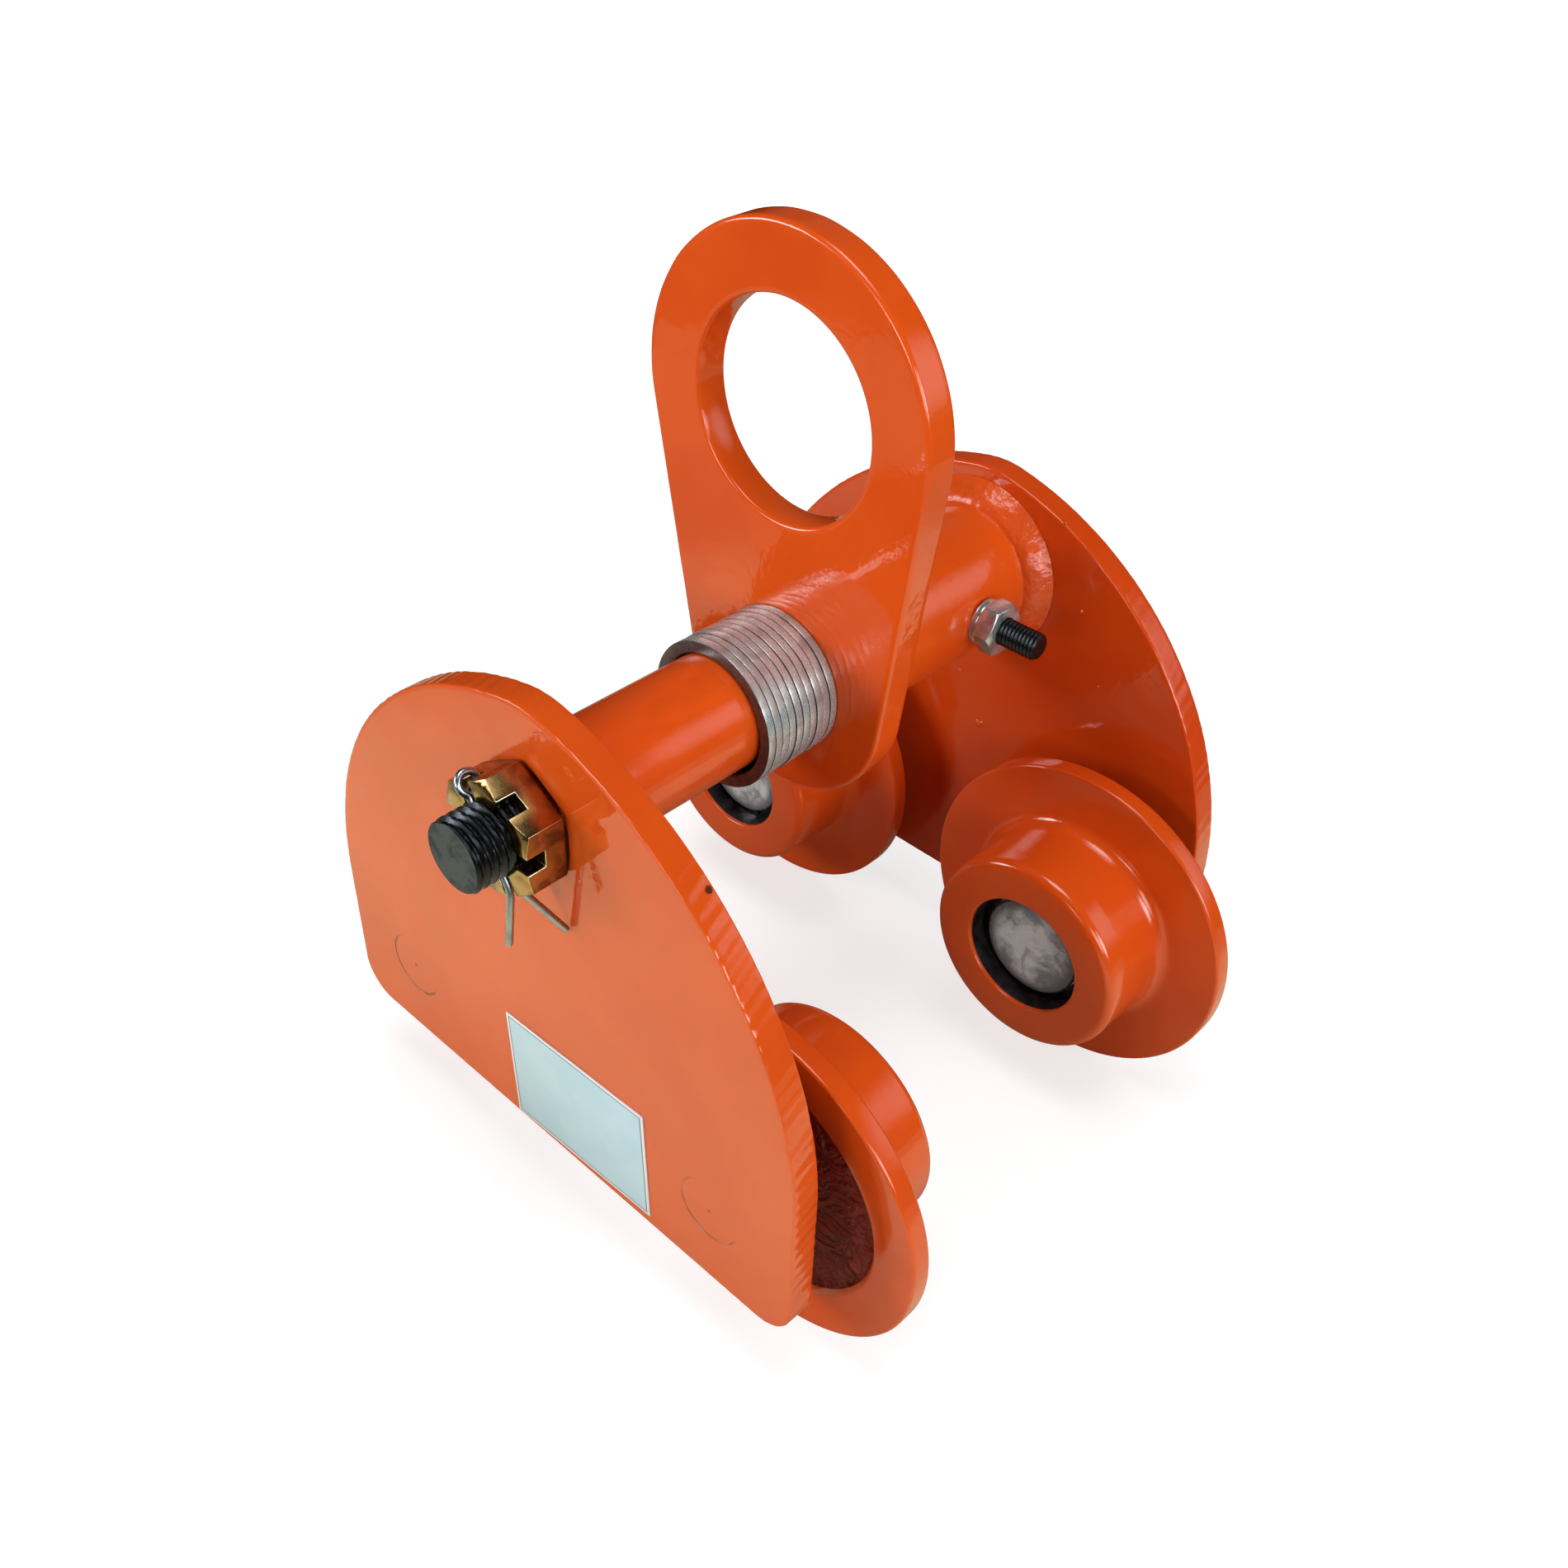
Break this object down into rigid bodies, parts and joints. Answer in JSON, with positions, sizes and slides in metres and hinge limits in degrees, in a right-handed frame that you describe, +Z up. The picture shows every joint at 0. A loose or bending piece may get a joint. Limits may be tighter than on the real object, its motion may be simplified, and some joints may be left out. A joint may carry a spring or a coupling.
{
  "type": "push travel beam trolley",
  "caption": "Push-travel trolley whose flanged wheels roll on the lower flange of an I-beam, with a load shaft across it and a free-swinging suspension eye for a hoist.",
  "frame": {"origin": "centre of the footprint, on the floor that the wheel flanges stand on", "axes": "+X along the beam; +Y across the beam, away from the castle nut's side; +Z up as pictured, with the suspension eye on top, which is upside down compared with its place on a beam"},
  "size_m": [0.276, 0.247, 0.3224],
  "materials": {
    "orange_paint": "gloss enamel over steel",
    "wheel_paint": "gloss enamel over cast steel",
    "dark_paint": "thin red-brown paint",
    "galvanised_steel": "zinc plated, satin",
    "zinc_plate": "zinc plated",
    "yellow_zinc": "yellow passivated zinc",
    "plain_steel": "turned and lightly oiled",
    "black_steel": "blackened",
    "bearing_steel": "ground and polished",
    "pressed_steel": "pressed sheet",
    "label_aluminium": "blank, satin"
  },
  "bodies": {
    "trolley_frame": {"front_side_plate": "orange_paint", "rear_side_plate": "orange_paint", "socket_tube": "orange_paint", "load_shaft": "orange_paint", "castle_nut": "yellow_zinc", "cotter_pin": "plain_steel", "cross_bolt": "black_steel", "cross_bolt_nut": "zinc_plate", "spring_washer": "zinc_plate", "front_spacer_washers": "galvanised_steel", "rear_spacer_washers": "galvanised_steel", "rating_plate": "label_aluminium", "axle_pin_front_left": "plain_steel", "axle_sleeve_front_left": "dark_paint", "bearing_inner_ring_front_left": "bearing_steel", "axle_pin_front_right": "plain_steel", "axle_sleeve_front_right": "dark_paint", "bearing_inner_ring_front_right": "bearing_steel", "axle_pin_rear_left": "plain_steel", "axle_sleeve_rear_left": "dark_paint", "bearing_inner_ring_rear_left": "bearing_steel", "axle_pin_rear_right": "plain_steel", "axle_sleeve_rear_right": "dark_paint", "bearing_inner_ring_rear_right": "bearing_steel"},
    "suspension_eye": {"suspension_eye": "orange_paint"},
    "wheel_front_left": {"wheel_front_left": "wheel_paint", "bearing_outer_ring_front_left": "bearing_steel", "bearing_shields_front_left": "pressed_steel", "retaining_ring_front_left": "black_steel"},
    "ball_cage_front_left": {"bearing_balls_front_left": "bearing_steel", "bearing_cage_front_left": "pressed_steel"},
    "wheel_front_right": {"wheel_front_right": "wheel_paint", "bearing_outer_ring_front_right": "bearing_steel", "bearing_shields_front_right": "pressed_steel", "retaining_ring_front_right": "black_steel"},
    "ball_cage_front_right": {"bearing_balls_front_right": "bearing_steel", "bearing_cage_front_right": "pressed_steel"},
    "wheel_rear_left": {"wheel_rear_left": "wheel_paint", "bearing_outer_ring_rear_left": "bearing_steel", "bearing_shields_rear_left": "pressed_steel", "retaining_ring_rear_left": "black_steel"},
    "ball_cage_rear_left": {"bearing_balls_rear_left": "bearing_steel", "bearing_cage_rear_left": "pressed_steel"},
    "wheel_rear_right": {"wheel_rear_right": "wheel_paint", "bearing_outer_ring_rear_right": "bearing_steel", "bearing_shields_rear_right": "pressed_steel", "retaining_ring_rear_right": "black_steel"},
    "ball_cage_rear_right": {"bearing_balls_rear_right": "bearing_steel", "bearing_cage_rear_right": "pressed_steel"}
  },
  "joints": [
    {"name": "eye_swing", "type": "hinge", "parent": "trolley_frame", "child": "suspension_eye", "pos_m": [0, 0.0147, 0.176], "axis": [0, 1, 0], "continuous": true},
    {"name": "wheel_spin_front_left", "type": "hinge", "parent": "trolley_frame", "child": "wheel_front_left", "pos_m": [-0.075, -0.05475, 0.063], "axis": [0, 1, 0], "continuous": true},
    {"name": "ball_cage_spin_front_left", "type": "hinge", "parent": "trolley_frame", "child": "ball_cage_front_left", "pos_m": [-0.075, -0.05475, 0.063], "axis": [0, 1, 0], "continuous": true},
    {"name": "wheel_spin_front_right", "type": "hinge", "parent": "trolley_frame", "child": "wheel_front_right", "pos_m": [0.075, -0.05475, 0.063], "axis": [0, 1, 0], "continuous": true},
    {"name": "ball_cage_spin_front_right", "type": "hinge", "parent": "trolley_frame", "child": "ball_cage_front_right", "pos_m": [0.075, -0.05475, 0.063], "axis": [0, 1, 0], "continuous": true},
    {"name": "wheel_spin_rear_left", "type": "hinge", "parent": "trolley_frame", "child": "wheel_rear_left", "pos_m": [-0.075, 0.08175, 0.063], "axis": [0, 1, 0], "continuous": true},
    {"name": "ball_cage_spin_rear_left", "type": "hinge", "parent": "trolley_frame", "child": "ball_cage_rear_left", "pos_m": [-0.075, 0.08175, 0.063], "axis": [0, 1, 0], "continuous": true},
    {"name": "wheel_spin_rear_right", "type": "hinge", "parent": "trolley_frame", "child": "wheel_rear_right", "pos_m": [0.075, 0.08175, 0.063], "axis": [0, 1, 0], "continuous": true},
    {"name": "ball_cage_spin_rear_right", "type": "hinge", "parent": "trolley_frame", "child": "ball_cage_rear_right", "pos_m": [0.075, 0.08175, 0.063], "axis": [0, 1, 0], "continuous": true}
  ],
  "couplings": [
    {"joint": "ball_cage_spin_front_left", "follows": "wheel_spin_front_left", "ratio": 0.6185},
    {"joint": "ball_cage_spin_front_right", "follows": "wheel_spin_front_right", "ratio": 0.6185},
    {"joint": "ball_cage_spin_rear_left", "follows": "wheel_spin_rear_left", "ratio": 0.6185},
    {"joint": "ball_cage_spin_rear_right", "follows": "wheel_spin_rear_right", "ratio": 0.6185}
  ]
}
